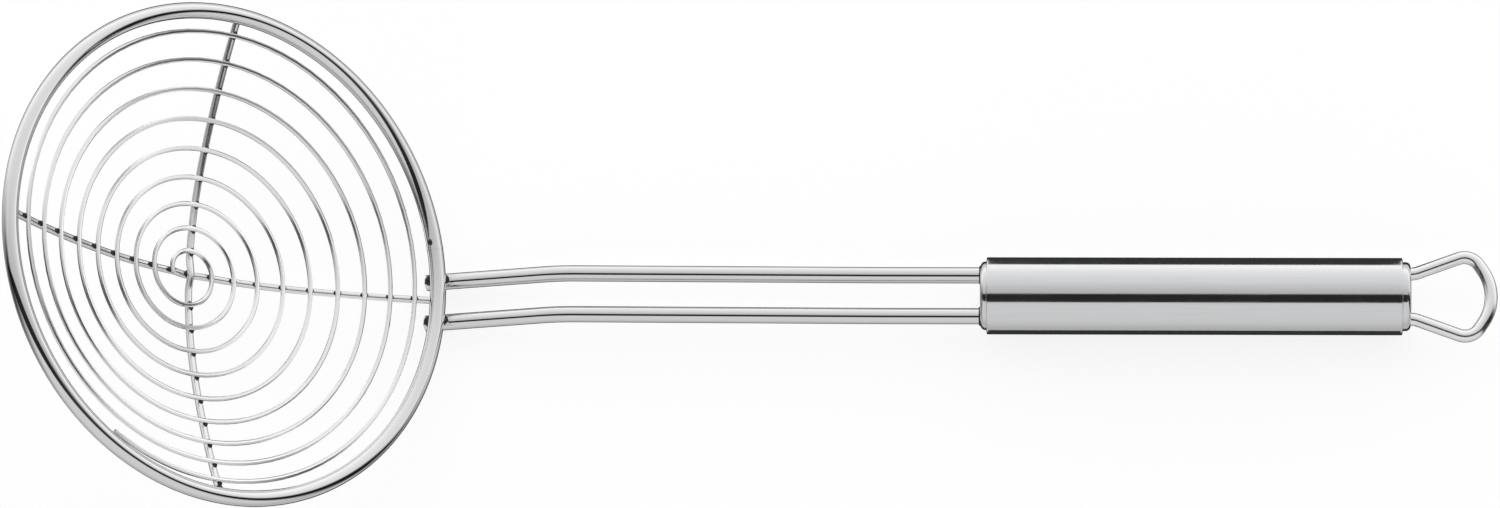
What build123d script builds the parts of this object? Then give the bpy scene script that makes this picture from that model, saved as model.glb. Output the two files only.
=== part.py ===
from build123d import *
import os
from math import asin, cos, hypot, pi, radians, sin, sqrt, tan

# Spider skimmer: a spiral wire bowl in a round rim, two bent rods, a tube handle with a plug in
# each end, and a fixed hanging loop. Millimetres. +X runs along the handle to its tail, +Z is up.
# The skimmer lies on z = 0 on its tube and on its rod ends. The origin is under its middle.

# Stock
rim_wire_diameter = 4.0
rod_diameter = 4.0
cross_wire_diameter = 1.8
spiral_wire_diameter = 1.2
loop_wire_diameter = 3.2
seat_gap = 0.03

# Wires are drawn with flat sides, so that the long ones stay light
stout_wire_sides = 12
cross_wire_sides = 8
spiral_wire_sides = 6
weld_sides = 8

# Rim and bowl, measured from the rim's centre
rim_outside_diameter = 126.0
rim_tilt = 38.0
rim_joint_angle = 12.5
rim_joint_turn = 0.8
rim_joint_rise = 0.15
crown_radius = 87.0
crown_reach = 27.0
side_radius = 197.0

# Hub, where the cross wires pass over each other, a little off the bowl's axis
hub_shift_x = 0.6
hub_shift_y = -0.75
crank_reach = 4.6

# Spiral, clockwise from above, from the arm that points away from the handle. Its middle drifts
# from the start shift to the end shift in a bow, and its turns are widest halfway out.
spiral_turns = 8.83
spiral_start_reach = 4.1
spiral_arm_gap = 1.3
spiral_pitch_swing = 0.7
spiral_start_shift_x = -0.9
spiral_start_shift_y = -0.6
spiral_end_shift_x = -1.7
spiral_end_shift_y = 1.1
spiral_bow_x = 0.6
spiral_bow_y = -1.0

# Rods, counted from the front plug's face towards the bowl
rod_spacing = 10.5
rod_level_length = 25.0
rod_bend_distance = 104.0
rod_bend_radius = 32.0
rod_level_radius = 200.0
rod_rise = 1.1
rod_drop_angle = 14.5
rod_end_reach = 4.2
rod_insert_length = 18.0

# Handle
tube_outside_diameter = 19.0
tube_wall = 1.0
tube_length = 102.0
tube_edge_chamfer = 0.3
front_plug_projection = 1.5
rear_plug_projection = 2.0
plug_depth = 8.0
plug_edge_radius = 1.2

# Hanging loop, counted from the rear plug's face
loop_insert_length = 10.0
loop_leg_spacing = 11.6
loop_leg_straight = 1.0
loop_leg_radius = 5.0
loop_shoulder_distance = 14.9
loop_shoulder_spacing = 21.9
loop_shoulder_radius = 4.2
loop_tip_distance = 22.1
loop_tip_radius = 12.0

# Welds
rod_weld_radius = 2.2
rod_weld_height = 2.4
hub_weld_radius = 1.25
hub_weld_height = 1.5
end_weld_rise = 0.45
end_weld_length = 1.1
rod_collar_rise = 0.5
rod_collar_length = 0.6

# Sizes that follow
rim_wire_radius = rim_wire_diameter / 2
rod_radius = rod_diameter / 2
cross_wire_radius = cross_wire_diameter / 2
spiral_wire_radius = spiral_wire_diameter / 2
loop_wire_radius = loop_wire_diameter / 2
rim_radius = rim_outside_diameter / 2 - rim_wire_radius
crown_angle = asin(crown_reach / crown_radius)
tube_radius = tube_outside_diameter / 2
plug_radius = tube_radius - tube_wall - seat_gap
handle_height = tube_radius
tail_face_x = front_plug_projection + tube_length + rear_plug_projection

# The rods' line in the plane of symmetry, from the end in the bowl to the end in the handle
drop = radians(rod_drop_angle)
rod_direction = Vector(cos(drop), 0, sin(drop))
rod_up = Vector(-sin(drop), 0, cos(drop))
rod_bend = Vector(-rod_bend_distance, 0, handle_height + rod_rise)
rod_end_height = rod_radius * cos(drop)
rod_end = rod_bend - rod_direction * ((rod_bend.Z - rod_end_height) / sin(drop))
rod_level = Vector(-rod_level_length, 0, handle_height)
rod_tail = Vector(rod_insert_length, 0, handle_height)

# The rim rests on the rods. They cross it a little beside its lowest point, where it has
# turned back by rim_retreat, so the seat is measured there.
tilt = radians(rim_tilt)
rim_outward = Vector(cos(tilt), 0, -sin(tilt))
bowl_axis = Vector(sin(tilt), 0, cos(tilt))
rod_seat = rod_end + rod_direction * rod_end_reach
seat_height = rod_radius + rim_wire_radius + seat_gap
rim_retreat = rim_radius - sqrt(rim_radius**2 - (rod_spacing / 2) ** 2)
rim_low_point = rod_seat + rod_up * seat_height + rim_outward * rim_retreat
rim_centre = rim_low_point - rim_outward * rim_radius

# The handle frame is moved so that the origin is under the middle of the whole skimmer
tip_half_turn = Vector(0, 1, 0).get_angle(
    Vector(loop_shoulder_distance - loop_tip_distance, loop_shoulder_spacing / 2, 0)
)
loop_apex = loop_tip_distance - loop_tip_radius * (1 / cos(radians(tip_half_turn)) - 1)
bowl_end_x = rim_centre.X - rim_radius * cos(tilt) - rim_wire_radius
loop_end_x = tail_face_x + loop_apex + loop_wire_radius
origin_shift = Pos(-(bowl_end_x + loop_end_x) / 2, 0, 0)
bowl_place = Plane(origin=rim_centre, x_dir=rim_outward, z_dir=bowl_axis).location


# Rise of the bowl from its lowest point: a round crown, then nearly straight sides
def arc_rise(reach):
    if reach <= crown_reach:
        return crown_radius - sqrt(crown_radius**2 - reach**2)
    side_angle = side_lean(reach)
    crown_rise = crown_radius * (1 - cos(crown_angle))
    return crown_rise + side_radius * (cos(crown_angle) - cos(side_angle))


def side_lean(reach):
    if reach <= crown_reach:
        return asin(reach / crown_radius)
    return asin(sin(crown_angle) + (reach - crown_reach) / side_radius)


# Height of a cross wire's centre line against the rim's centre. Carried on, it meets the rim's.
def bowl_height(reach):
    return arc_rise(abs(reach)) - arc_rise(rim_radius)


def bowl_direction(reach):
    lean = side_lean(abs(reach))
    return Vector(cos(lean), 0, sin(lean) if reach > 0 else -sin(lean))


# Two arcs that leave start and reach end in the given directions
def biarc(start, start_direction, end, end_direction):
    t0 = start_direction.normalized()
    t1 = end_direction.normalized()
    span = end - start
    along = span.dot(t0 + t1)
    bend = 2 * (1 - t0.dot(t1))
    reach = span.dot(span) / (along + sqrt(along**2 + bend * span.dot(span)))
    handle0 = start + t0 * reach
    handle1 = end - t1 * reach
    middle = (handle0 + handle1) * 0.5
    return [
        Edge.make_tangent_arc(start, t0, middle),
        Edge.make_tangent_arc(middle, handle1 - handle0, end),
    ]


def wire_along(path, radius, sides):
    section = RegularPolygon(radius, sides)
    return sweep(Plane(origin=path @ 0, z_dir=path % 0) * section, path=path, clean=False)


def one_part(label, *solids):
    part = Compound(children=list(solids)) if len(solids) > 1 else solids[0]
    part.label = label
    return part


# Rim: one round wire, butt-welded where the joint shows as a slight ring
def rim_sector(radius, start_angle, turn):
    section = Plane.XZ * Pos(rim_radius, 0, 0) * RegularPolygon(radius, stout_wire_sides)
    return Rot(0, 0, start_angle) * revolve(section, Axis.Z, turn)


rim_joint_start = rim_joint_angle - rim_joint_turn / 2
rim_ring = rim_sector(rim_wire_radius, rim_joint_start + rim_joint_turn, 360 - rim_joint_turn)
rim_joint = rim_sector(rim_wire_radius + rim_joint_rise, rim_joint_start, rim_joint_turn)


# A cross wire lies on the bowl, cranks half its width up or down at the hub to pass the other,
# and ends square against the rim
def cross_wire_path(hub_x, hub_offset, crank):
    rim_reach = sqrt(rim_radius**2 - hub_offset**2)
    end_lean = side_lean(rim_reach)
    end_x = rim_reach - (rim_wire_radius + seat_gap) * cos(end_lean)
    hub = Vector(hub_x, 0, bowl_height(hub_x) + crank)
    stations = [-end_x, -crown_reach, hub_x - crank_reach, hub_x + crank_reach, crown_reach, end_x]
    points = [Vector(x, 0, bowl_height(x)) for x in stations]
    leans = [bowl_direction(x) for x in stations]
    flat = Vector(1, 0, 0)
    edges = [
        Edge.make_tangent_arc(points[0], leans[0], points[1]),
        Edge.make_tangent_arc(points[1], leans[1], points[2]),
        *biarc(points[2], leans[2], hub, flat),
        *biarc(hub, flat, points[3], leans[3]),
        Edge.make_tangent_arc(points[3], leans[3], points[4]),
        Edge.make_tangent_arc(points[4], leans[4], points[5]),
    ]
    return Wire(edges)


hub_crank = cross_wire_radius + seat_gap / 2
along_place = Pos(0, hub_shift_y, 0)
across_place = Pos(hub_shift_x, 0, 0) * Rot(0, 0, 90)
along_path = cross_wire_path(hub_shift_x, hub_shift_y, -hub_crank)
across_path = cross_wire_path(hub_shift_y, hub_shift_x, hub_crank)
cross_wire_along = along_place * wire_along(along_path, cross_wire_radius, cross_wire_sides)
cross_wire_across = across_place * wire_along(across_path, cross_wire_radius, cross_wire_sides)

# Spiral: one wire that lies on the arms of the cross and meets each of them every turn. After
# its last arm it swings out until it rests against the rim's inner side.
spiral_lift = cross_wire_radius + spiral_wire_radius + seat_gap
rim_clear_reach = rim_radius - rim_wire_radius - spiral_wire_radius - seat_gap
quarters = int(4 * spiral_turns)
start_shift = Vector(spiral_start_shift_x, spiral_start_shift_y, 0)
end_shift = Vector(spiral_end_shift_x, spiral_end_shift_y, 0)
bow_shift = Vector(spiral_bow_x, spiral_bow_y, 0)


def spiral_middle(turn):
    share = turn / spiral_turns
    return start_shift + (end_shift - start_shift) * share + bow_shift * (4 * share * (1 - share))


def spiral_outward(turn):
    return Vector(-cos(2 * pi * turn), sin(2 * pi * turn), 0)


def spiral_swing(turn):
    return spiral_pitch_swing * sin(2 * pi * turn / spiral_turns)


arm_turn = quarters / 4
arm_shift = spiral_middle(arm_turn).dot(spiral_outward(arm_turn))
arm_reach = rim_clear_reach - spiral_arm_gap - arm_shift + spiral_swing(arm_turn)
spiral_pitch = (arm_reach - spiral_start_reach) / arm_turn


def spiral_reach(turn):
    return spiral_start_reach + spiral_pitch * turn - spiral_swing(turn)


def spiral_height(reach):
    return bowl_height(reach) + spiral_lift / cos(side_lean(abs(reach)))


# Where the wire crosses an arm, after a whole number of quarter turns
def spiral_crossing(quarter):
    middle = spiral_middle(quarter / 4)
    reach = spiral_reach(quarter / 4)
    side = -1 if quarter % 4 in (0, 3) else 1
    if quarter % 2 == 0:
        x = middle.X + side * sqrt(reach**2 - (hub_shift_y - middle.Y) ** 2)
        return Vector(x, hub_shift_y, spiral_height(x))
    y = middle.Y + side * sqrt(reach**2 - (hub_shift_x - middle.X) ** 2)
    return Vector(hub_shift_x, y, spiral_height(y))


def spiral_direction(point, turn, creep):
    middle = spiral_middle(turn)
    outward = Vector(point.X - middle.X, point.Y - middle.Y, 0).normalized()
    forward = Vector(outward.Y, -outward.X, 0)
    climb = tan(side_lean(hypot(point.X, point.Y)))
    return forward * spiral_reach(turn) + (outward + Vector(0, 0, climb)) * creep


knots = []
directions = []
for quarter in range(quarters + 1):
    turn = quarter / 4
    swing_rate = spiral_pitch_swing / spiral_turns * cos(2 * pi * turn / spiral_turns)
    knots.append(spiral_crossing(quarter))
    directions.append(spiral_direction(knots[-1], turn, spiral_pitch / (2 * pi) - swing_rate))

end_middle = spiral_middle(spiral_turns)
end_outward = spiral_outward(spiral_turns)
end_along = end_middle.dot(end_outward)
end_reach = sqrt(end_along**2 - end_middle.dot(end_middle) + rim_clear_reach**2) - end_along
end_flat = end_middle + end_outward * end_reach
knots.append(Vector(end_flat.X, end_flat.Y, spiral_height(rim_clear_reach)))
directions.append(spiral_direction(knots[-1], spiral_turns, 0))

start_tail = directions[0].normalized() * cross_wire_radius
spiral_edges = [Edge.make_line(knots[0] - start_tail, knots[0])]
for first in range(len(knots) - 1):
    spiral_edges += biarc(
        knots[first], directions[first], knots[first + 1], directions[first + 1]
    )
spiral_path = Wire(spiral_edges)
spiral_wire = wire_along(spiral_path, spiral_wire_radius, spiral_wire_sides)


# Least gap between turns, on points along the wire. Half a turn is four arcs, and each point is
# set against the stretch from half a turn to one and a half turns further on.
def least_turn_gap(edges, samples):
    half_turn = 4
    points = []
    for number, edge in enumerate(edges):
        for step in range(samples):
            points.append((number, edge @ (step / samples)))
    best = rim_outside_diameter
    for number, point in points:
        for other_number, other in points:
            if half_turn <= other_number - number <= 3 * half_turn:
                best = min(best, (other - point).length)
    return best - spiral_wire_diameter


print("spiral pitch", round(spiral_pitch, 3))
print("spiral least gap to itself", round(least_turn_gap(spiral_edges, samples=4), 3))
tightest = min(edge.radius for edge in spiral_edges[1:])
print("spiral tightest bend radius", round(tightest, 3))
swept_volume = RegularPolygon(spiral_wire_radius, spiral_wire_sides).area * spiral_path.length
print("spiral volume against section times length", round(spiral_wire.volume / swept_volume, 5))

# Rods
rod_path = FilletPolyline(
    rod_end, rod_bend, rod_level, rod_tail, radius=[rod_bend_radius, rod_level_radius]
)
rod = wire_along(rod_path, rod_radius, stout_wire_sides)
rod_right = Pos(0, rod_spacing / 2, 0) * rod
rod_left = Pos(0, -rod_spacing / 2, 0) * rod

# Handle tube
handle_axis = Pos(front_plug_projection, 0, handle_height) * Rot(0, 90, 0)
tube_ring = Circle(tube_radius) - Circle(tube_radius - tube_wall)
tube = extrude(tube_ring, tube_length)
outer_edges = tube.edges().filter_by(GeomType.CIRCLE).filter_by(
    lambda edge: edge.radius > tube_radius - tube_wall / 2
)
handle_tube = handle_axis * chamfer(outer_edges, min(tube_edge_chamfer, tube_wall / 2))


# Plug: its round-edged face stands out of the tube, and two holes take a pair of wires
def plug(projection, hole_spacing, hole_radius):
    depth = projection + plug_depth
    body = extrude(Circle(plug_radius), depth)
    face_edge = body.edges().sort_by(Axis.Z)[0]
    body = fillet(face_edge, min(plug_edge_radius, projection))
    for side in (-1, 1):
        body -= Pos(0, side * hole_spacing / 2, 0) * Cylinder(hole_radius, depth * 2)
    return body


front_plug = Pos(0, 0, handle_height) * Rot(0, 90, 0) * plug(
    front_plug_projection, rod_spacing, rod_radius + seat_gap
)
rear_plug = Pos(tail_face_x, 0, handle_height) * Rot(0, -90, 0) * plug(
    rear_plug_projection, loop_leg_spacing, loop_wire_radius + seat_gap
)

# Hanging loop, level with the handle's middle
loop_half = [
    Vector(-loop_insert_length, loop_leg_spacing / 2, 0),
    Vector(loop_leg_straight, loop_leg_spacing / 2, 0),
    Vector(loop_shoulder_distance, loop_shoulder_spacing / 2, 0),
]
loop_points = [
    *loop_half,
    Vector(loop_tip_distance, 0, 0),
    *[Vector(point.X, -point.Y, 0) for point in reversed(loop_half)],
]
loop_radii = [
    loop_leg_radius,
    loop_shoulder_radius,
    loop_tip_radius,
    loop_shoulder_radius,
    loop_leg_radius,
]
loop_path = FilletPolyline(*loop_points, radius=loop_radii)
loop_place = Pos(tail_face_x, 0, handle_height)
hanging_loop = loop_place * wire_along(loop_path, loop_wire_radius, stout_wire_sides)


# A weld pad fills the corners round the point where two wires cross, clear of the upper one
def weld_pad(place, radius, height, lower_wire, upper_cut):
    pad = extrude(RegularPolygon(radius, weld_sides), height / 2, both=True)
    return place * pad - lower_wire - upper_cut


# A weld collar runs round a wire where it meets a face, and thins out along the wire
def weld_collar(wire_radius, rise, length):
    foot = RegularPolygon(wire_radius + rise, stout_wire_sides)
    tip = RegularPolygon(wire_radius + 2 * seat_gap, stout_wire_sides, major_radius=False)
    hole = RegularPolygon(wire_radius + seat_gap, stout_wire_sides, major_radius=False)
    return loft([foot, Pos(0, 0, length) * tip]) - extrude(hole, length)


rim_cut = bowl_place * rim_sector(rim_wire_radius + seat_gap, 0, 360)
rod_rim_welds = []
for side, rod_solid in ((1, rod_right), (-1, rod_left)):
    contact = rod_seat + rod_up * (rod_radius + seat_gap / 2) + Vector(0, side * rod_spacing / 2, 0)
    place = Plane(origin=contact, z_dir=rod_up).location
    rod_rim_welds.append(weld_pad(place, rod_weld_radius, rod_weld_height, rod_solid, rim_cut))

hub_place = Pos(hub_shift_x, hub_shift_y, bowl_height(hub_shift_x))
across_cut_radius = cross_wire_radius + seat_gap
across_cut = across_place * wire_along(across_path, across_cut_radius, cross_wire_sides)
hub_weld = weld_pad(hub_place, hub_weld_radius, hub_weld_height, cross_wire_along, across_cut)

end_collar = weld_collar(cross_wire_radius, end_weld_rise, end_weld_length)
end_welds = []
for place, path in ((along_place, along_path), (across_place, across_path)):
    for end, inward in ((0, 1), (1, -1)):
        foot_plane = Plane(origin=path @ end, z_dir=(path % end) * inward)
        end_welds.append(place * (foot_plane * end_collar))

rod_collar = weld_collar(rod_radius, rod_collar_rise, rod_collar_length)
rod_plug_welds = [
    Pos(0, side * rod_spacing / 2, handle_height) * Rot(0, -90, 0) * rod_collar
    for side in (1, -1)
]

nodes = {
    "rim_ring": [bowl_place * rim_ring],
    "rim_joint_weld": [bowl_place * rim_joint],
    "spiral_wire": [bowl_place * spiral_wire],
    "cross_wire_along": [bowl_place * cross_wire_along],
    "cross_wire_across": [bowl_place * cross_wire_across],
    "hub_weld": [bowl_place * hub_weld],
    "cross_wire_end_welds": [bowl_place * weld for weld in end_welds],
    "rod_right": [rod_right],
    "rod_left": [rod_left],
    "rod_rim_welds": rod_rim_welds,
    "rod_plug_welds": rod_plug_welds,
    "front_plug": [front_plug],
    "handle_tube": [handle_tube],
    "rear_plug": [rear_plug],
    "hanging_loop": [hanging_loop],
}

os.makedirs("parts", exist_ok=True)
for name, solids in nodes.items():
    export_step(one_part(name, *[origin_shift * solid for solid in solids]), f"parts/{name}.step")
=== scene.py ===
from math import asin, cos, hypot, pi, radians, sin, sqrt, tan

import bpy
from mathutils import Matrix, Vector


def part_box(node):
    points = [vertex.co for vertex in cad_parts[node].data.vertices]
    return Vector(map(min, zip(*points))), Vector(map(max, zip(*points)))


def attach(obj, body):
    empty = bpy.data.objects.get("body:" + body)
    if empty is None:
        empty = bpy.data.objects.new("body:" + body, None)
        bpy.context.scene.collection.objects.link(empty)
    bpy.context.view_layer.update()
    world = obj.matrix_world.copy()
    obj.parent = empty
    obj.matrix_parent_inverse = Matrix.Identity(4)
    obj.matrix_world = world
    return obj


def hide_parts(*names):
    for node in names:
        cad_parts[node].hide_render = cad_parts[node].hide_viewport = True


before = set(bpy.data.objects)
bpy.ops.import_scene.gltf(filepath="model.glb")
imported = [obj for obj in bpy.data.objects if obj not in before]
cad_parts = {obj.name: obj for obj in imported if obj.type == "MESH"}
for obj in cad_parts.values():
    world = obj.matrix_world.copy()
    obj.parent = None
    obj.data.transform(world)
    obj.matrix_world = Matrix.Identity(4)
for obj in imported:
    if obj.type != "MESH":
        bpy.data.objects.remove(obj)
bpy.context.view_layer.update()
bpy.ops.object.select_all(action="DESELECT")
print("frame loaded,", len(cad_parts), "nodes")

mm = 0.001
upY = Vector((0, 1, 0))


# Small helpers for making and finishing pieces

def boxMiddle(node):
    low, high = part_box(node)
    return (low + high) / 2


def pickOnly(piece):
    bpy.ops.object.select_all(action="DESELECT")
    piece.select_set(True)
    bpy.context.view_layer.objects.active = piece


def editWhole():  # edit mode on the active piece, with all of its mesh selected
    bpy.ops.object.mode_set(mode="EDIT")
    bpy.ops.mesh.select_all(action="SELECT")


def applyPlace(piece):  # the place goes into the mesh
    pickOnly(piece)
    bpy.ops.object.transform_apply(location=True, rotation=True, scale=True)


def placeBy(piece, matrix):
    piece.matrix_world = matrix
    bpy.context.view_layer.update()
    applyPlace(piece)


def applyModifiers(piece):
    pickOnly(piece)
    for modifier in list(piece.modifiers):
        bpy.ops.object.modifier_apply(modifier=modifier.name)


def joinPieces(pieces):
    bpy.ops.object.select_all(action="DESELECT")
    for piece in pieces:
        piece.select_set(True)
    bpy.context.view_layer.objects.active = pieces[0]
    bpy.ops.object.join()
    return pieces[0]


def finishPiece(piece, name, material, nodes=(), smoothAngle=40):
    piece.name = name
    piece.data.name = name
    piece.data.materials.clear()
    piece.data.materials.append(material)
    pickOnly(piece)
    bpy.ops.object.shade_smooth_by_angle(angle=radians(smoothAngle))
    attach(piece, "root")
    if nodes:
        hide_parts(*nodes)
    print("made", name, "with", len(piece.data.polygons), "faces")


# Wires are Bezier curves with a round section, turned into meshes. A knot is a point, the wire's
# direction there and the handle lengths before and after it. Sides is an even number.
def bendWire(knots, radius, steps, sides, mergeShare=0.01):
    bpy.ops.object.select_all(action="DESELECT")
    bpy.ops.curve.primitive_bezier_curve_add(location=(0, 0, 0))
    wire = bpy.context.object
    curve = wire.data
    curve.dimensions = "3D"
    curve.twist_mode = "MINIMUM"
    curve.resolution_u = steps
    curve.bevel_depth = radius
    curve.bevel_resolution = sides // 2 - 2
    curve.use_fill_caps = True
    spline = curve.splines[0]
    spline.bezier_points.add(len(knots) - 2)
    for point, (place, direction, before, after) in zip(spline.bezier_points, knots):
        point.handle_left_type = "FREE"
        point.handle_right_type = "FREE"
        point.co = place
        point.handle_left = place - direction.normalized() * before
        point.handle_right = place + direction.normalized() * after
    bpy.ops.object.convert(target="MESH")
    wire = bpy.context.object
    editWhole()
    bpy.ops.mesh.remove_doubles(threshold=radius * mergeShare)
    bpy.ops.mesh.normals_make_consistent(inside=False)
    bpy.ops.object.mode_set(mode="OBJECT")
    return wire


# Shader groups, each built once and used in the materials

def newGroup(name, inputs, outputs):
    group = bpy.data.node_groups.new(name, "ShaderNodeTree")
    for label, kind, value in inputs:
        socket = group.interface.new_socket(label, in_out="INPUT", socket_type=kind)
        if value is not None:
            socket.default_value = value
    for label, kind in outputs:
        group.interface.new_socket(label, in_out="OUTPUT", socket_type=kind)
    return group, group.nodes.new("NodeGroupInput"), group.nodes.new("NodeGroupOutput")


def addNode(tree, kind, settings=(), values=()):
    node = tree.nodes.new(kind)
    for name, value in dict(settings).items():
        setattr(node, name, value)
    for socket, value in dict(values).items():
        node.inputs[socket].default_value = value
    return node


def mathNode(tree, operation, first, second=0.0, third=None, clamp=False):
    node = addNode(tree, "ShaderNodeMath", dict(operation=operation, use_clamp=clamp))
    for socket, value in zip(node.inputs, (first, second, third)):
        if isinstance(value, bpy.types.NodeSocket):
            tree.links.new(value, socket)
        elif value is not None:
            socket.default_value = value
    return node.outputs[0]


# Fine lines left by drawing or brushing, along X of the given vector
def buildDrawnLines():
    tree, given, made = newGroup(
        "drawnLines",
        [
            ("Vector", "NodeSocketVector", None),
            ("Line Length", "NodeSocketFloat", 0.01),
            ("Line Width", "NodeSocketFloat", 0.0001),
            ("Broken", "NodeSocketFloat", 0.5),
        ],
        [("Height", "NodeSocketFloat")],
    )
    longShare = mathNode(tree, "DIVIDE", 1.0, given.outputs["Line Length"])
    fineShare = mathNode(tree, "DIVIDE", 1.0, given.outputs["Line Width"])
    scale = addNode(tree, "ShaderNodeCombineXYZ")
    tree.links.new(longShare, scale.inputs["X"])
    tree.links.new(fineShare, scale.inputs["Y"])
    tree.links.new(fineShare, scale.inputs["Z"])
    stretched = addNode(tree, "ShaderNodeVectorMath", dict(operation="MULTIPLY"))
    tree.links.new(given.outputs["Vector"], stretched.inputs[0])
    tree.links.new(scale.outputs[0], stretched.inputs[1])
    fine = addNode(tree, "ShaderNodeTexNoise", values=dict(Scale=1.0, Detail=3.0, Roughness=0.65))
    wide = addNode(tree, "ShaderNodeTexNoise", values=dict(Scale=0.17, Detail=2.0, Roughness=0.5))
    tree.links.new(stretched.outputs[0], fine.inputs["Vector"])
    tree.links.new(stretched.outputs[0], wide.inputs["Vector"])
    broken = addNode(tree, "ShaderNodeMix", dict(data_type="FLOAT"))
    tree.links.new(given.outputs["Broken"], broken.inputs["Factor"])
    tree.links.new(fine.outputs["Fac"], broken.inputs["A"])
    both = mathNode(tree, "MULTIPLY", fine.outputs["Fac"], wide.outputs["Fac"])
    tree.links.new(both, broken.inputs["B"])
    tree.links.new(broken.outputs[0], made.inputs["Height"])
    return tree


# Faint smudges and handling marks in the finish
def buildHandlingMarks():
    tree, given, made = newGroup(
        "handlingMarks",
        [("Vector", "NodeSocketVector", None), ("Size", "NodeSocketFloat", 0.01)],
        [("Mask", "NodeSocketFloat")],
    )
    scaled = addNode(tree, "ShaderNodeVectorMath", dict(operation="DIVIDE"))
    size = addNode(tree, "ShaderNodeCombineXYZ")
    for axis in "XYZ":
        tree.links.new(given.outputs["Size"], size.inputs[axis])
    tree.links.new(given.outputs["Vector"], scaled.inputs[0])
    tree.links.new(size.outputs[0], scaled.inputs[1])
    cloud = addNode(tree, "ShaderNodeTexNoise", values=dict(
        Scale=1.0, Detail=4.0, Roughness=0.6, Distortion=0.8))
    tree.links.new(scaled.outputs[0], cloud.inputs["Vector"])
    ramp = addNode(tree, "ShaderNodeMapRange", values={"From Min": 0.42, "From Max": 0.68})
    tree.links.new(cloud.outputs["Fac"], ramp.inputs["Value"])
    tree.links.new(ramp.outputs[0], made.inputs["Mask"])
    return tree


drawnLines = buildDrawnLines()
handlingMarks = buildHandlingMarks()


# Every metal here is one Principled shader, fed by the two groups
def steelMaterial(name, look, coordinates="Object", stretch=(1, 1, 1)):
    material = bpy.data.materials.new(name)
    material.use_nodes = True
    tree = material.node_tree
    shader = tree.nodes["Principled BSDF"]
    shader.inputs["Metallic"].default_value = 1.0
    place = addNode(tree, "ShaderNodeTexCoord")
    mapping = addNode(tree, "ShaderNodeMapping", values=dict(Scale=stretch))
    tree.links.new(place.outputs[coordinates], mapping.inputs["Vector"])

    lines = addNode(tree, "ShaderNodeGroup", dict(node_tree=drawnLines))
    lines.inputs["Line Length"].default_value = look["lineLength"]
    lines.inputs["Line Width"].default_value = look["lineWidth"]
    lines.inputs["Broken"].default_value = look["broken"]
    tree.links.new(mapping.outputs[0], lines.inputs["Vector"])
    marks = addNode(tree, "ShaderNodeGroup", dict(node_tree=handlingMarks))
    marks.inputs["Size"].default_value = look["markSize"]
    tree.links.new(place.outputs["Object"], marks.inputs["Vector"])

    height = lines.outputs["Height"]
    rough = mathNode(tree, "MULTIPLY_ADD", marks.outputs["Mask"], look["markRough"], look["rough"])
    rough = mathNode(tree, "MULTIPLY_ADD", height, look["lineRough"], rough, clamp=True)
    tree.links.new(rough, shader.inputs["Roughness"])

    tone = addNode(tree, "ShaderNodeMix", dict(data_type="RGBA"))
    tone.inputs["A"].default_value = (*look["dark"], 1)
    tone.inputs["B"].default_value = (*look["light"], 1)
    tree.links.new(height, tone.inputs["Factor"])
    tree.links.new(tone.outputs["Result"], shader.inputs["Base Color"])

    bump = addNode(
        tree, "ShaderNodeBump", values=dict(Strength=look["bump"], Distance=look["bumpDepth"])
    )
    tree.links.new(height, bump.inputs["Height"])
    tree.links.new(bump.outputs[0], shader.inputs["Normal"])
    return material


# A look is the metal's colour between its fine lines and on them, how rough it is, how long, wide
# and broken the lines are, how large the handling marks, and how deep the lines
wireLook = dict(
    light=(0.88, 0.88, 0.88), dark=(0.80, 0.80, 0.805), rough=0.04, lineRough=0.04, markRough=0.03,
    lineLength=8 * mm, lineWidth=0.12 * mm, broken=0.4, markSize=6 * mm,
    bump=0.10, bumpDepth=0.002 * mm,
)
thinLook = dict(wireLook, light=(0.95, 0.95, 0.95), dark=(0.89, 0.89, 0.895), rough=0.2)
spiralLook = dict(thinLook, light=(0.99, 0.99, 0.99), dark=(0.94, 0.94, 0.945))
loopLook = dict(wireLook, light=(0.99, 0.99, 0.99), dark=(0.94, 0.94, 0.945), rough=0.14)
handleLook = dict(
    light=(0.88, 0.885, 0.895), dark=(0.74, 0.745, 0.755),
    rough=0.06, lineRough=0.07, markRough=0.03,
    lineLength=14 * mm, lineWidth=0.11 * mm, broken=0.5, markSize=14 * mm,
    bump=0.35, bumpDepth=0.008 * mm,
)
plugLook = dict(
    light=(0.86, 0.86, 0.87), dark=(0.76, 0.76, 0.77), rough=0.05, lineRough=0.10, markRough=0.05,
    lineLength=6 * mm, lineWidth=0.10 * mm, broken=0.5, markSize=5 * mm,
    bump=0.2, bumpDepth=0.005 * mm,
)
# The welds' near-black is partly heat tint and partly painted shade, for the shadows and dark
# reflections between the wires and under the rim
weldTintAndShadeLook = dict(
    light=(0.12, 0.117, 0.114), dark=(0.02, 0.0195, 0.019),
    rough=0.3, lineRough=0.2, markRough=0.2,
    lineLength=0.5 * mm, lineWidth=0.35 * mm, broken=0.2, markSize=1.5 * mm,
    bump=0.5, bumpDepth=0.05 * mm,
)


# Wires carry the drawn lines in their own UV map, where U runs along the wire and V round it
def wireMaterial(name, length, girth, look=wireLook):
    return steelMaterial(name, look, "UV", (length, girth, 1))


weldTintAndShadeSteel = steelMaterial("weldTintAndShadeSteel", weldTintAndShadeLook)
print("materials ready")

# Bowl, measured from the rim's centre in the rim's own plane
bowl = dict(
    tilt=38.0, outside=126.0, rimWire=4.0, crownRadius=87.0, crownReach=27.0, sideRadius=197.0,
    hubX=0.6, hubY=-0.75, crank=4.6, crossWire=1.8, crossSteps=16, crossSides=10, gap=0.03,
)
bowlTilt = Matrix.Rotation(radians(bowl["tilt"]), 4, "Y")
bowlPlace = Matrix.Translation(boxMiddle("rim_ring")) @ bowlTilt
rimRadius = bowl["outside"] / 2 - bowl["rimWire"] / 2
crownAngle = asin(bowl["crownReach"] / bowl["crownRadius"])


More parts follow.
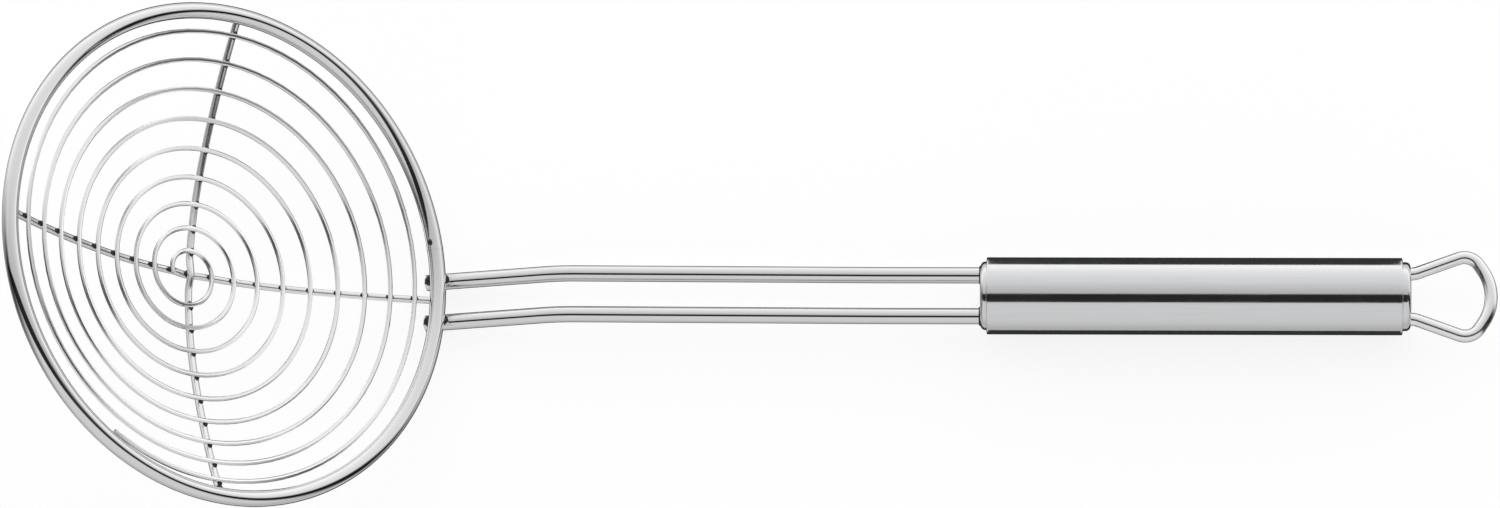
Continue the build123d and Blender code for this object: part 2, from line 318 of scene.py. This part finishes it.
def sideLean(reach):
    if reach <= bowl["crownReach"]:
        return asin(reach / bowl["crownRadius"])
    return asin(sin(crownAngle) + (reach - bowl["crownReach"]) / bowl["sideRadius"])


def arcRise(reach):
    if reach <= bowl["crownReach"]:
        return bowl["crownRadius"] * (1 - cos(sideLean(reach)))
    crownRise = bowl["crownRadius"] * (1 - cos(crownAngle))
    return crownRise + bowl["sideRadius"] * (cos(crownAngle) - cos(sideLean(reach)))


def bowlHeight(reach):
    return arcRise(abs(reach)) - arcRise(rimRadius)


def bowlDirection(x):
    lean = sideLean(abs(x))
    return Vector((cos(lean), 0, sin(lean) if x > 0 else -sin(lean)))


def inBowl(point):
    return bowlPlace @ (Vector(point) * mm)


def bowlTurned(direction):
    return bowlPlace.to_3x3() @ Vector(direction)


# Rim: a ring of stout wire
def makeRim():
    settings = dict(rings=256, sides=32)
    bpy.ops.mesh.primitive_torus_add(
        major_segments=settings["rings"], minor_segments=settings["sides"],
        major_radius=rimRadius * mm, minor_radius=bowl["rimWire"] / 2 * mm,
    )
    rim = bpy.context.object
    placeBy(rim, bowlPlace)
    steel = wireMaterial("rimSteel", 2 * pi * rimRadius * mm, pi * bowl["rimWire"] * mm)
    finishPiece(rim, "rim", steel, ["rim_ring"])


makeRim()


# Welds are small lumps, flattened between the wires that they join
def weldLump(place, along, up, size, seed, roughShare=0.10, detail=2):
    across = up.cross(along).normalized()
    along = across.cross(up).normalized()
    turn = Matrix((along, across, up)).transposed().to_4x4()
    bpy.ops.object.select_all(action="DESELECT")
    bpy.ops.mesh.primitive_ico_sphere_add(subdivisions=detail, radius=1)
    lump = bpy.context.object
    placeBy(lump, Matrix.Translation(place) @ turn @ Matrix.Diagonal((*size, 1)))
    editWhole()
    bpy.ops.transform.vertex_random(offset=min(size) * roughShare, seed=seed)
    bpy.ops.object.mode_set(mode="OBJECT")
    return lump


# The rim's butt joint: a low band round the wire and a small dark burr on its inner side
def makeRimJoint():
    joint = dict(angle=12.5, turn=0.8, rise=0.05, segments=10, sides=32,
                 burrAngle=13.2, burr=(0.85, 0.6, 0.5), burrLean=28, seed=2)
    bpy.ops.mesh.primitive_circle_add(
        vertices=joint["sides"], radius=(bowl["rimWire"] / 2 + joint["rise"]) * mm,
        rotation=(radians(90), 0, 0), location=(rimRadius * mm, 0, 0),
    )
    bead = bpy.context.object
    applyPlace(bead)
    editWhole()
    bpy.ops.mesh.spin(
        steps=joint["segments"], angle=radians(joint["turn"]), center=(0, 0, 0), axis=(0, 0, 1)
    )
    bpy.ops.mesh.select_all(action="SELECT")
    bpy.ops.mesh.normals_make_consistent(inside=False)
    bpy.ops.object.mode_set(mode="OBJECT")
    start = radians(joint["angle"] - joint["turn"] / 2)
    placeBy(bead, bowlPlace @ Matrix.Rotation(start, 4, "Z"))
    length = rimRadius * radians(joint["turn"]) * mm
    steel = wireMaterial("rimJointSteel", length, pi * bowl["rimWire"] * mm)
    finishPiece(bead, "rimJoint", steel, ["rim_joint_weld"])
    # The burr's dark is partly weld tint and partly painted shade of the notch at the joint
    turned = bowlPlace @ Matrix.Rotation(radians(joint["burrAngle"]), 4, "Z")
    lean = radians(joint["burrLean"])
    outward = Vector((-cos(lean), 0, sin(lean)))
    spot = Vector((rimRadius, 0, 0)) + outward * bowl["rimWire"] / 2
    burr = weldLump(turned @ (spot * mm), turned.to_3x3() @ upY, turned.to_3x3() @ outward,
                    [s * mm for s in joint["burr"]], joint["seed"])
    finishPiece(burr, "rimJointBurr", weldTintAndShadeSteel)


makeRimJoint()


# Cross wires: they lie on the bowl and crank past each other at the hub
def crossWire(name, node, hubX, offset, crank, place):
    reach = sqrt(rimRadius**2 - offset**2)
    endLean = sideLean(reach)
    endX = reach - bowl["rimWire"] / 2 * cos(endLean)
    stations = [-endX, -bowl["crownReach"], hubX - bowl["crank"], hubX + bowl["crank"],
                bowl["crownReach"], endX]
    points = [(Vector((x, 0, bowlHeight(x))), bowlDirection(x)) for x in stations]
    hub = (Vector((hubX, 0, bowlHeight(hubX) + crank)), Vector((1, 0, 0)))
    points.insert(3, hub)
    knots = []
    turn = (bowlPlace @ place).to_3x3()
    for number, (point, direction) in enumerate(points):  # handles of a third of each span
        before = (point - points[number - 1][0]).length / 3 if number else 0
        after = (points[number + 1][0] - point).length / 3 if number < len(points) - 1 else 0
        spot = bowlPlace @ place @ (point * mm)
        knots.append((spot, turn @ direction, before * mm, after * mm))
    radius = bowl["crossWire"] / 2 * mm
    wire = bendWire(knots, radius, bowl["crossSteps"], bowl["crossSides"])
    steel = wireMaterial(name + "Steel", 2 * endX * mm, 2 * pi * radius, thinLook)
    finishPiece(wire, name, steel, [node])


hubCrank = (bowl["crossWire"] + bowl["gap"]) / 2
alongPlace = Matrix.Translation((0, bowl["hubY"] * mm, 0))
acrossPlace = Matrix.Translation((bowl["hubX"] * mm, 0, 0)) @ Matrix.Rotation(pi / 2, 4, "Z")
crossWire("crossWireAlong", "cross_wire_along", bowl["hubX"], bowl["hubY"], -hubCrank, alongPlace)
crossWire("crossWireAcross", "cross_wire_across", bowl["hubY"], bowl["hubX"], hubCrank, acrossPlace)

# Spiral: one thin wire that crosses an arm at every quarter turn and ends against the rim
spiral = dict(
    wire=1.2, turns=8.83, startReach=4.1, armGap=1.3, swing=0.7,
    startShift=(-0.9, -0.6), endShift=(-1.7, 1.1), bow=(0.6, -1.0), arcShare=1.1,
    steps=20, sides=8,
)
spiralLift = (bowl["crossWire"] + spiral["wire"]) / 2 + bowl["gap"]
rimClear = rimRadius - (bowl["rimWire"] + spiral["wire"]) / 2
quarters = int(4 * spiral["turns"])


def spiralMiddle(turn):
    share = turn / spiral["turns"]
    start, end, bow = (Vector((*spiral[name], 0)) for name in ("startShift", "endShift", "bow"))
    return start + (end - start) * share + bow * (4 * share * (1 - share))


def spiralOutward(turn):
    return Vector((-cos(2 * pi * turn), sin(2 * pi * turn), 0))


def spiralSwing(turn):
    return spiral["swing"] * sin(2 * pi * turn / spiral["turns"])


armTurn = quarters / 4
armShift = spiralMiddle(armTurn).dot(spiralOutward(armTurn))
armReach = rimClear - bowl["gap"] - spiral["armGap"] - armShift + spiralSwing(armTurn)
spiralPitch = (armReach - spiral["startReach"]) / armTurn


def spiralReach(turn):
    return spiral["startReach"] + spiralPitch * turn - spiralSwing(turn)


def spiralHeight(reach):
    return bowlHeight(reach) + spiralLift / cos(sideLean(abs(reach)))


def spiralCrossing(quarter):
    middle = spiralMiddle(quarter / 4)
    reach = spiralReach(quarter / 4)
    side = -1 if quarter % 4 in (0, 3) else 1
    if quarter % 2 == 0:
        x = middle.x + side * sqrt(reach**2 - (bowl["hubY"] - middle.y) ** 2)
        return Vector((x, bowl["hubY"], spiralHeight(x)))
    y = middle.y + side * sqrt(reach**2 - (bowl["hubX"] - middle.x) ** 2)
    return Vector((bowl["hubX"], y, spiralHeight(y)))


def spiralDirection(point, turn, creep):
    middle = spiralMiddle(turn)
    outward = Vector((point.x - middle.x, point.y - middle.y, 0)).normalized()
    forward = Vector((outward.y, -outward.x, 0))
    climb = tan(sideLean(hypot(point.x, point.y)))
    return forward * spiralReach(turn) + (outward + Vector((0, 0, climb))) * creep


def makeSpiral():
    places, directions = [], []
    for quarter in range(quarters + 1):
        turn = quarter / 4
        swingRate = spiral["swing"] / spiral["turns"] * cos(2 * pi * turn / spiral["turns"])
        places.append(spiralCrossing(quarter))
        directions.append(spiralDirection(places[-1], turn, spiralPitch / (2 * pi) - swingRate))
    middle, outward = spiralMiddle(spiral["turns"]), spiralOutward(spiral["turns"])
    along = middle.dot(outward)
    end = middle + outward * (sqrt(along**2 - middle.dot(middle) + rimClear**2) - along)
    places.append(Vector((end.x, end.y, spiralHeight(rimClear))))
    directions.append(spiralDirection(places[-1], spiral["turns"], 0))
    places.insert(0, places[0] - directions[0].normalized() * bowl["crossWire"] / 2)
    directions.insert(0, directions[0])
    knots = []
    length = 0
    straight = 0.001  # a bend too small for an arc's handles
    for number, (place, direction) in enumerate(zip(places, directions)):
        spans = []
        for other in (number - 1, number + 1):
            if 0 <= other < len(places):
                chord = (places[other] - place).length
                bend = direction.angle(directions[other]) / 2
                share = 4 / 3 * tan(bend / 2) / (2 * sin(bend)) if bend > straight else 1 / 3
                spans.append(chord * share)
                length += chord / 2
            else:
                spans.append(0)
        knots.append((inBowl(place), bowlTurned(direction), spans[0] * mm, spans[1] * mm))
    radius = spiral["wire"] / 2 * mm
    wire = bendWire(knots, radius, spiral["steps"], spiral["sides"])
    length *= spiral["arcShare"]  # the arcs are longer than their chords
    steel = wireMaterial("spiralSteel", length * mm, 2 * pi * radius, spiralLook)
    finishPiece(wire, "spiral", steel, ["spiral_wire"])
    return places[1:-1], directions[1:-1]


crossings, crossingDirections = makeSpiral()


# A dark spot of weld under the spiral at every crossing, partly weld tint and partly painted shade
# of the spiral on the arm. The arms follow each other from the left one on, and their spots are
# longer or shorter along the arm, so that the painted shade is longest on the left arm.
def makeSpotWeldsAndShade():
    spot = dict(along=0.75, across=1.05, height=0.42, armShadeShares=(1.5, 1.1, 1.0, 1.2))
    lumps = []
    for number, (place, direction) in enumerate(zip(crossings, crossingDirections)):
        lean = sideLean(hypot(place.x, place.y))
        outward = Vector((place.x, place.y, 0)).normalized()
        up = Vector((0, 0, 1)) * cos(lean) - outward * sin(lean)
        contact = place - up * (spiral["wire"] / 2 + bowl["gap"] / 2)
        # the arm's share stretches the spot's painted shade along the arm
        across = spot["across"] * spot["armShadeShares"][number % 4]
        size = (spot["along"] * mm, across * mm, spot["height"] * mm)
        lumps.append(weldLump(inBowl(contact), bowlTurned(direction), bowlTurned(up), size, number))
    finishPiece(joinPieces(lumps), "spiralSpotWeldsAndShade", weldTintAndShadeSteel)


makeSpotWeldsAndShade()


def makeHubWeld():
    hub = dict(size=(1.35, 1.15, 0.55), seed=3,
               flash=(0.9, 0.5, 0.4), flashAway=1.15, flashDrop=0.1, flashSeed=5)
    middle = Vector((bowl["hubX"], bowl["hubY"], bowlHeight(bowl["hubX"])))
    up = bowlTurned((0, 0, 1))
    along = bowlTurned((1, 0, 0))
    lumps = [weldLump(inBowl(middle), along, up, [s * mm for s in hub["size"]], hub["seed"])]
    flash = [s * mm for s in hub["flash"]]
    for side in (-1, 1):
        spot = middle + Vector((side * hub["flashAway"], 0, -hub["flashDrop"]))
        lumps.append(weldLump(inBowl(spot), along, up, flash, hub["flashSeed"] + side))
    finishPiece(joinPieces(lumps), "hubWeld", weldTintAndShadeSteel, ["hub_weld"])


makeHubWeld()


def makeEndWelds():
    weld = dict(size=(0.7, 1.05, 1.05), inset=0.35, shares=((1.0, 0.55), (1.0, 0.7)))
    lumps = []
    for axis, offset, place in ((0, bowl["hubY"], alongPlace), (1, bowl["hubX"], acrossPlace)):
        reach = sqrt(rimRadius**2 - offset**2)
        endX = reach - bowl["rimWire"] / 2 * cos(sideLean(reach))
        for side, share in zip((-1, 1), weld["shares"][axis]):
            direction = bowlDirection(side * endX)
            spot = Vector((side * endX, 0, bowlHeight(endX))) - direction * side * weld["inset"]
            turn = (bowlPlace @ place).to_3x3()
            up = turn @ Vector((-direction.z, 0, direction.x))
            size = [s * share * mm for s in weld["size"]]
            centre = bowlPlace @ place @ (spot * mm)
            lumps.append(weldLump(centre, turn @ direction, up, size, axis * 2 + side))
    finishPiece(joinPieces(lumps), "crossWireEndWelds", weldTintAndShadeSteel, ["cross_wire_end_welds"])


makeEndWelds()

# Rods: straight from the tube, then bent down to the rim
rods = dict(
    wire=4.0, spacing=10.5, levelLength=25.0, bendDistance=104.0, bendRadius=32.0,
    levelRadius=200.0, rise=1.1, drop=14.5, insert=18.0, steps=12, sides=18, endReach=4.2,
)
tube = dict(outside=19.0, wall=1.0, length=102.0, edge=0.3, frontOut=1.5, rearOut=2.0)
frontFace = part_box("front_plug")[0].x / mm  # the front plug's face
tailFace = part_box("rear_plug")[1].x / mm
handleHeight = tube["outside"] / 2


# A path through the corners, with an arc of the given radius at each inner one
def roundedKnots(corners, radii):
    knots = [[corners[0], corners[1] - corners[0], 0, 0]]
    for number, radius in enumerate(radii):
        before, corner, after = corners[number:number + 3]
        into, out = (corner - before).normalized(), (after - corner).normalized()
        turn = into.angle(out)
        setback = radius * tan(turn / 2)
        handle = 4 / 3 * tan(turn / 4) * radius
        knots.append([corner - into * setback, into, 0, handle])
        knots.append([corner + out * setback, out, handle, 0])
    knots.append([corners[-1], corners[-1] - corners[-2], 0, 0])
    for first, second in zip(knots, knots[1:]):
        if not first[3]:
            first[3] = second[2] = (second[0] - first[0]).length / 3
    return knots


rodDrop = radians(rods["drop"])
rodDirection = Vector((cos(rodDrop), 0, sin(rodDrop)))
rodUp = Vector((-sin(rodDrop), 0, cos(rodDrop)))
rodBend = Vector((frontFace - rods["bendDistance"], 0, handleHeight + rods["rise"]))
rodEnd = rodBend - rodDirection * ((rodBend.z - rods["wire"] / 2 * cos(rodDrop)) / sin(rodDrop))
rodLevel = Vector((frontFace - rods["levelLength"], 0, handleHeight))
rodTail = Vector((frontFace + rods["insert"], 0, handleHeight))


def makeRod(side, name, node):
    shift = upY * side * rods["spacing"] / 2
    corners = [corner + shift for corner in (rodEnd, rodBend, rodLevel, rodTail)]
    knots = roundedKnots(corners, [rods["bendRadius"], rods["levelRadius"]])
    knots = [(k[0] * mm, k[1], k[2] * mm, k[3] * mm) for k in knots]
    radius = rods["wire"] / 2 * mm
    rod = bendWire(knots, radius, rods["steps"], rods["sides"])
    steel = wireMaterial(name + "Steel", (rodTail - rodEnd).length * mm, 2 * pi * radius)
    finishPiece(rod, name, steel, [node])


makeRod(1, "rodRight", "rod_right")
makeRod(-1, "rodLeft", "rod_left")


# Welds between the rods and the rim, with a dark nub on each rod's end, partly weld tint and partly
# painted shadow under the rim's inner edge
def makeRodRimWeldsAndShade():
    weld = dict(size=(2.3, 1.6, 0.8), shadeNub=(1.3, 1.35, 0.9), shadeNubBack=2.75,
                roughShare=0.12, detail=3, seed=11)
    lumps = []
    for side in (-1, 1):
        seat = rodEnd + rodDirection * rods["endReach"] + upY * side * rods["spacing"] / 2
        contact = seat + rodUp * (rods["wire"] / 2 + bowl["gap"] / 2)
        # the nub's dark paints the shadow under the rim's inner edge, along with the weld tint
        shadeNub = contact - rodDirection * weld["shadeNubBack"]
        for spot, name in ((contact, "size"), (shadeNub, "shadeNub")):
            size = [s * mm for s in weld[name]]
            lumps.append(weldLump(spot * mm, rodDirection, rodUp, size, weld["seed"] + side,
                                  weld["roughShare"], weld["detail"]))
    finishPiece(joinPieces(lumps), "rodRimWeldsAndShade", weldTintAndShadeSteel, ["rod_rim_welds"])


makeRodRimWeldsAndShade()


# Tube: a satin brushed cylinder, open at both ends, its edges just broken
def makeTube():
    settings = dict(sides=192, edgeSegments=3, edgeAngle=60, cutInset=0.5)
    middle = boxMiddle("handle_tube")
    bpy.ops.object.select_all(action="DESELECT")
    bpy.ops.mesh.primitive_cylinder_add(
        vertices=settings["sides"], radius=tube["outside"] / 2 * mm, depth=tube["length"] * mm,
        end_fill_type="NOTHING", location=middle, rotation=(0, pi / 2, 0),
    )
    piece = bpy.context.object
    applyPlace(piece)
    wall = piece.modifiers.new("wall", "SOLIDIFY")
    wall.thickness = tube["wall"] * mm
    wall.offset = -1
    wall.use_even_offset = True
    edge = piece.modifiers.new("edge", "BEVEL")
    edge.width = tube["edge"] * mm
    edge.segments = settings["edgeSegments"]
    edge.limit_method = "ANGLE"
    edge.angle_limit = radians(settings["edgeAngle"])
    applyModifiers(piece)
    for end in (-1, 1):  # cuts near the ends keep the long faces' shading straight
        cut = middle.x + end * (tube["length"] / 2 - settings["cutInset"]) * mm
        editWhole()
        bpy.ops.mesh.bisect(plane_co=(cut, 0, 0), plane_no=(1, 0, 0))
        bpy.ops.object.mode_set(mode="OBJECT")
    steel = steelMaterial("handleSteel", handleLook)
    finishPiece(piece, "handleTube", steel, ["handle_tube"])


makeTube()


# Plugs: round-edged discs in the tube's ends, with a hole for each wire
def makePlug(name, node, faceX, inward, spacing, wire, out):
    plug = dict(depth=8.0, edge=1.2, clearance=0.03, segments=8, sides=160, holeSides=48,
                smoothAngle=30)
    radius = tube["outside"] / 2 - tube["wall"] - plug["clearance"]
    depth = plug["depth"] + out
    bpy.ops.object.select_all(action="DESELECT")
    bpy.ops.mesh.primitive_cylinder_add(
        vertices=plug["sides"], radius=radius * mm, depth=depth * mm, end_fill_type="NGON",
        location=((faceX + inward * depth / 2) * mm, 0, handleHeight * mm), rotation=(0, pi / 2, 0),
    )
    piece = bpy.context.object
    applyPlace(piece)
    bpy.ops.object.mode_set(mode="EDIT")
    bpy.ops.mesh.select_all(action="DESELECT")
    bpy.ops.object.mode_set(mode="OBJECT")
    for face in piece.data.polygons:
        face.select = round(face.normal.x) == -inward  # the outer face
    bpy.ops.object.mode_set(mode="EDIT")
    bpy.ops.mesh.select_mode(type="FACE")
    edge = min(plug["edge"], out) * mm
    bpy.ops.mesh.bevel(offset=edge, segments=plug["segments"], affect="EDGES")
    bpy.ops.object.mode_set(mode="OBJECT")
    for side in (-1, 1):
        bpy.ops.object.select_all(action="DESELECT")
        bpy.ops.mesh.primitive_cylinder_add(
            vertices=plug["holeSides"], radius=(wire / 2 + plug["clearance"]) * mm,
            depth=4 * depth * mm, rotation=(0, pi / 2, 0),  # long enough to pass right through
            location=(faceX * mm, side * spacing / 2 * mm, handleHeight * mm),
        )
        drill = bpy.context.object
        applyPlace(drill)
        hole = piece.modifiers.new("hole", "BOOLEAN")
        hole.object = drill
        hole.solver = "EXACT"
        applyModifiers(piece)
        bpy.data.objects.remove(drill)
    steel = steelMaterial(name + "Steel", plugLook)
    finishPiece(piece, name, steel, [node], plug["smoothAngle"])


loop = dict(
    wire=3.2, insert=10.0, legSpacing=11.6, legStraight=1.0, legRadius=5.0, shoulder=14.9,
    shoulderSpacing=21.9, shoulderRadius=4.2, tip=22.1, tipRadius=12.0, steps=14, sides=16,
)
makePlug("frontPlug", "front_plug", frontFace, 1, rods["spacing"], rods["wire"], tube["frontOut"])
makePlug("rearPlug", "rear_plug", tailFace, -1, loop["legSpacing"], loop["wire"], tube["rearOut"])


# Collars of weld where the rods enter the front plug
def makeRodCollars():
    collar = dict(wire=0.42, sides=48, wireSides=16, rough=0.05, seed=20)
    rings = []
    for side in (-1, 1):
        bpy.ops.object.select_all(action="DESELECT")
        bpy.ops.mesh.primitive_torus_add(
            major_segments=collar["sides"], minor_segments=collar["wireSides"],
            major_radius=rods["wire"] / 2 * mm, minor_radius=collar["wire"] * mm,
            location=(frontFace * mm, side * rods["spacing"] / 2 * mm, handleHeight * mm),
            rotation=(0, pi / 2, 0),
        )
        ring = bpy.context.object
        applyPlace(ring)
        editWhole()
        bpy.ops.transform.vertex_random(offset=collar["rough"] * mm, seed=collar["seed"] + side)
        bpy.ops.object.mode_set(mode="OBJECT")
        rings.append(ring)
    finishPiece(joinPieces(rings), "rodPlugWelds", weldTintAndShadeSteel, ["rod_plug_welds"])


makeRodCollars()


# Hanging loop: one bent wire, level with the handle
def makeLoop():
    half = [
        Vector((-loop["insert"], loop["legSpacing"] / 2, 0)),
        Vector((loop["legStraight"], loop["legSpacing"] / 2, 0)),
        Vector((loop["shoulder"], loop["shoulderSpacing"] / 2, 0)),
    ]
    tip = Vector((loop["tip"], 0, 0))
    corners = half + [tip] + [Vector((p.x, -p.y, 0)) for p in reversed(half)]
    radii = [loop["legRadius"], loop["shoulderRadius"], loop["tipRadius"], loop["shoulderRadius"],
             loop["legRadius"]]
    base = Vector((tailFace, 0, handleHeight))
    knots = [((k[0] + base) * mm, k[1], k[2] * mm, k[3] * mm) for k in roundedKnots(corners, radii)]
    radius = loop["wire"] / 2 * mm
    wire = bendWire(knots, radius, loop["steps"], loop["sides"])
    length = sum((b - a).length for a, b in zip(corners, corners[1:]))
    steel = wireMaterial("loopSteel", length * mm, 2 * pi * radius, loopLook)
    finishPiece(wire, "hangingLoop", steel, ["hanging_loop"])


makeLoop()


# Flat paint for the floor and the cards, with a glow of its own
def stagePaint(name, shade, roughness, glow):
    paint = bpy.data.materials.new(name)
    paint.use_nodes = True
    shader = paint.node_tree.nodes["Principled BSDF"]
    shader.inputs["Base Color"].default_value = (shade, shade, shade, 1)
    shader.inputs["Roughness"].default_value = roughness
    shader.inputs["Specular IOR Level"].default_value = 0.0
    shader.inputs["Emission Color"].default_value = (1, 1, 1, 1)
    shader.inputs["Emission Strength"].default_value = glow
    return paint


# Floor: plain and pale. Reflections in the metal see the studio's lower half in its place.
def makeFloor():
    floor = dict(size=6.0, drop=0.02, shade=0.35, roughness=0.9, glow=0.80)
    bpy.ops.object.select_all(action="DESELECT")
    bpy.ops.mesh.primitive_plane_add(size=floor["size"], location=(0, 0, -floor["drop"] * mm))
    ground = bpy.context.object
    ground.name = "floor"
    paint = stagePaint("floorPaint", floor["shade"], floor["roughness"], floor["glow"])
    tree = paint.node_tree
    clear = addNode(tree, "ShaderNodeBsdfTransparent")
    path = addNode(tree, "ShaderNodeLightPath")
    mix = addNode(tree, "ShaderNodeMixShader")
    tree.links.new(path.outputs["Is Glossy Ray"], mix.inputs["Fac"])
    tree.links.new(tree.nodes["Principled BSDF"].outputs[0], mix.inputs[1])
    tree.links.new(clear.outputs[0], mix.inputs[2])
    tree.links.new(mix.outputs[0], tree.nodes["Material Output"].inputs["Surface"])
    ground.data.materials.append(paint)


makeFloor()


# Dark cards on the floor beside the handle draw its dark edges, and a bright one lies under the
# bowl's low side. Only reflections see them. The far one widens outwards, because the handle's ends
# are seen at a slant. A card's corners run round it.
def makeCards():
    handleStart, handleEnd = (corner.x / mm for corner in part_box("handle_tube"))
    cards = dict(
        shade=0.03, roughness=1.0, away=18.5, flare=10.0, farReach=400.0, nearInner=4.0,
        darkGlow=0.02, brightGlow=0.80,
        lowCorners=[(-122, -50), (-96, -34), (-92, 20), (-112, 20)],
    )
    away, flare, farReach = cards["away"], cards["flare"], cards["farReach"]
    farCorners = [(handleStart, away), (handleEnd, away), (handleEnd + flare, farReach),
                  (handleStart - flare, farReach)]
    nearCorners = [(handleStart, -away), (handleEnd, -away), (handleEnd, -cards["nearInner"]),
                   (handleStart, -cards["nearInner"])]
    for name, corners, glow in (
        ("farCard", farCorners, cards["darkGlow"]),
        ("nearCard", nearCorners, cards["darkGlow"]),
        ("lowCard", cards["lowCorners"], cards["brightGlow"]),
    ):
        bpy.ops.object.select_all(action="DESELECT")
        bpy.ops.mesh.primitive_plane_add(size=1, location=(0, 0, 0))
        card = bpy.context.object
        card.name = name
        first, second, third, fourth = corners
        for point, (x, y) in zip(card.data.vertices, (first, second, fourth, third)):
            point.co = (x * mm, y * mm, 0)
        paint = stagePaint(name + "Paint", cards["shade"], cards["roughness"], glow)
        card.data.materials.append(paint)
        card.visible_camera = False
        card.visible_diffuse = False
        card.visible_shadow = False
        card.visible_transmission = False


makeCards()


# Studio: soft light from all round, in bands that run along the handle. Each stop is an angle
# from straight up, positive towards +Y, and a brightness. A dark strip passes over the handle: its
# four angles are where each soft edge begins and ends, and it fades towards +X. Dark cards stand
# beyond both ends. A card has a turn from +X, a lift from level and soft edges. The dark below
# draws the metal's edges.
def makeStudio():
    studio = dict(
        stops=[
            (-180, 0.80), (-160, 0.72), (-135, 0.50), (-122, 0.55), (-110, 0.63), (-95, 0.70),
            (-55, 0.72), (-36, 0.70), (-9, 0.53), (5, 0.61), (15, 0.69), (25, 0.77), (45, 0.85),
            (65, 0.96), (76, 1.08), (87, 1.15), (96, 0.82), (106, 0.72), (120, 0.80), (145, 0.90),
            (180, 0.80),
        ],
        strip=(-36.5, -34.5, -11.0, -8.5), stripFade=(0.2, 1.0, 0.13), stripLight=0.035,
        liftCurve=1.7,
        cards=[
            dict(turn=-12, turnEdge=(7, 20), lift=0, liftEdge=(20, 55), light=0.012),
            dict(turn=18, turnEdge=(8, 22), lift=-35, liftEdge=(12, 28), light=0.55),
            dict(turn=-175, turnEdge=(5, 36), lift=-3, liftEdge=(20, 48), light=0.08),
        ],
        below=(0.0, 0.29, -0.957), belowEdge=(50, 38), belowLight=0.04,
    )
    world = bpy.data.worlds.new("studio")
    bpy.context.scene.world = world
    world.use_nodes = True
    tree = world.node_tree
    place = addNode(tree, "ShaderNodeTexCoord")
    split = addNode(tree, "ShaderNodeSeparateXYZ")
    tree.links.new(place.outputs["Generated"], split.inputs[0])
    angle = mathNode(tree, "ARCTAN2", split.outputs["Y"], split.outputs["Z"])
    share = mathNode(tree, "MULTIPLY_ADD", angle, 1 / (2 * pi), 0.5)
    curve = addNode(tree, "ShaderNodeFloatCurve")
    line = curve.mapping.curves[0]
    top = max(light for _, light in studio["stops"])
    for number, (degrees, light) in enumerate(studio["stops"]):
        spot = ((degrees + 180) / 360, light / top)
        if number in (0, 1):
            line.points[number].location = spot
        else:
            line.points.new(*spot)
    for point in line.points:
        point.handle_type = "VECTOR"
    curve.mapping.update()
    tree.links.new(share, curve.inputs["Value"])

    def ramp(value, low, high, lowTo=0.0, highTo=1.0):
        node = addNode(tree, "ShaderNodeMapRange", values={
            "From Min": low, "From Max": high, "To Min": lowTo, "To Max": highTo})
        tree.links.new(value, node.inputs["Value"])
        return node.outputs[0]

    def less(first, second):
        return mathNode(tree, "SUBTRACT", first, second)

    def times(first, second):
        return mathNode(tree, "MULTIPLY", first, second)

    bright = times(curve.outputs[0], top)
    lowStart, lowEnd, highStart, highEnd = (radians(degrees) for degrees in studio["strip"])
    strip = times(ramp(angle, lowStart, lowEnd), ramp(angle, highEnd, highStart))
    near, far, faded = studio["stripFade"]
    stripLight = ramp(split.outputs["X"], near, far, studio["stripLight"], faded)
    bright = times(bright, less(1.0, times(strip, less(1.0, stripLight))))

    lift = mathNode(tree, "ARCSINE", split.outputs["Z"])
    for card in studio["cards"]:
        turn = radians(card["turn"])
        eastward, northward = split.outputs["X"], split.outputs["Y"]
        along = mathNode(tree, "MULTIPLY_ADD", eastward, cos(turn), times(northward, sin(turn)))
        aside = mathNode(tree, "MULTIPLY_ADD", northward, cos(turn), times(eastward, -sin(turn)))
        turnAway = mathNode(tree, "ABSOLUTE", mathNode(tree, "ARCTAN2", aside, along))
        liftAway = mathNode(tree, "ABSOLUTE", less(lift, radians(card["lift"])))
        turnNear, turnFar = (radians(degrees) for degrees in card["turnEdge"])
        liftNear, liftFar = (radians(degrees) for degrees in card["liftEdge"])
        liftShare = mathNode(tree, "POWER", ramp(liftAway, liftNear, liftFar), studio["liftCurve"])
        within = times(ramp(turnAway, turnNear, turnFar, 1.0, 0.0), less(1.0, liftShare))
        keep = mathNode(tree, "MULTIPLY_ADD", within, card["light"] - 1.0, 1.0)
        bright = times(bright, keep)

    dot = addNode(tree, "ShaderNodeVectorMath", dict(operation="DOT_PRODUCT"))
    tree.links.new(place.outputs["Generated"], dot.inputs[0])
    dot.inputs[1].default_value = Vector(studio["below"]).normalized()
    outer, inner = (cos(radians(degrees)) for degrees in studio["belowEdge"])
    below = ramp(dot.outputs["Value"], outer, inner, 1.0, studio["belowLight"])
    bright = times(bright, below)
    path = addNode(tree, "ShaderNodeLightPath")  # the camera itself sees a plain pale wall
    seen = path.outputs["Is Camera Ray"]
    shown = mathNode(tree, "MULTIPLY_ADD", less(1.0, bright), seen, bright)
    tree.links.new(shown, tree.nodes["Background"].inputs["Strength"])
    tree.nodes["Background"].inputs["Color"].default_value = (1, 1, 1, 1)


makeStudio()


def makeCamera():
    view = dict(
        aim=(-130.218, 0, 46), distance=2000.0, pitch=16.969, yaw=2.986, roll=0.103,
        right=127.784, up=-0.697, lens=197.5, sensor=36.0, clipEnd=20,
    )
    turn = (
        Matrix.Rotation(radians(view["pitch"]), 4, "X")
        @ Matrix.Rotation(radians(view["yaw"]), 4, "Y")
        @ Matrix.Rotation(radians(view["roll"]), 4, "Z")
    )
    offset = turn @ Vector((view["right"], view["up"], view["distance"]))
    camera = bpy.data.cameras.new("camera")
    camera.lens = view["lens"]
    camera.sensor_width = view["sensor"]
    camera.clip_end = view["clipEnd"]
    holder = bpy.data.objects.new("camera", camera)
    bpy.context.collection.objects.link(holder)
    holder.matrix_world = Matrix.Translation((Vector(view["aim"]) + offset) * mm) @ turn
    bpy.context.scene.camera = holder


makeCamera()
bpy.context.scene.view_settings.view_transform = "Standard"
print("studio and camera ready")
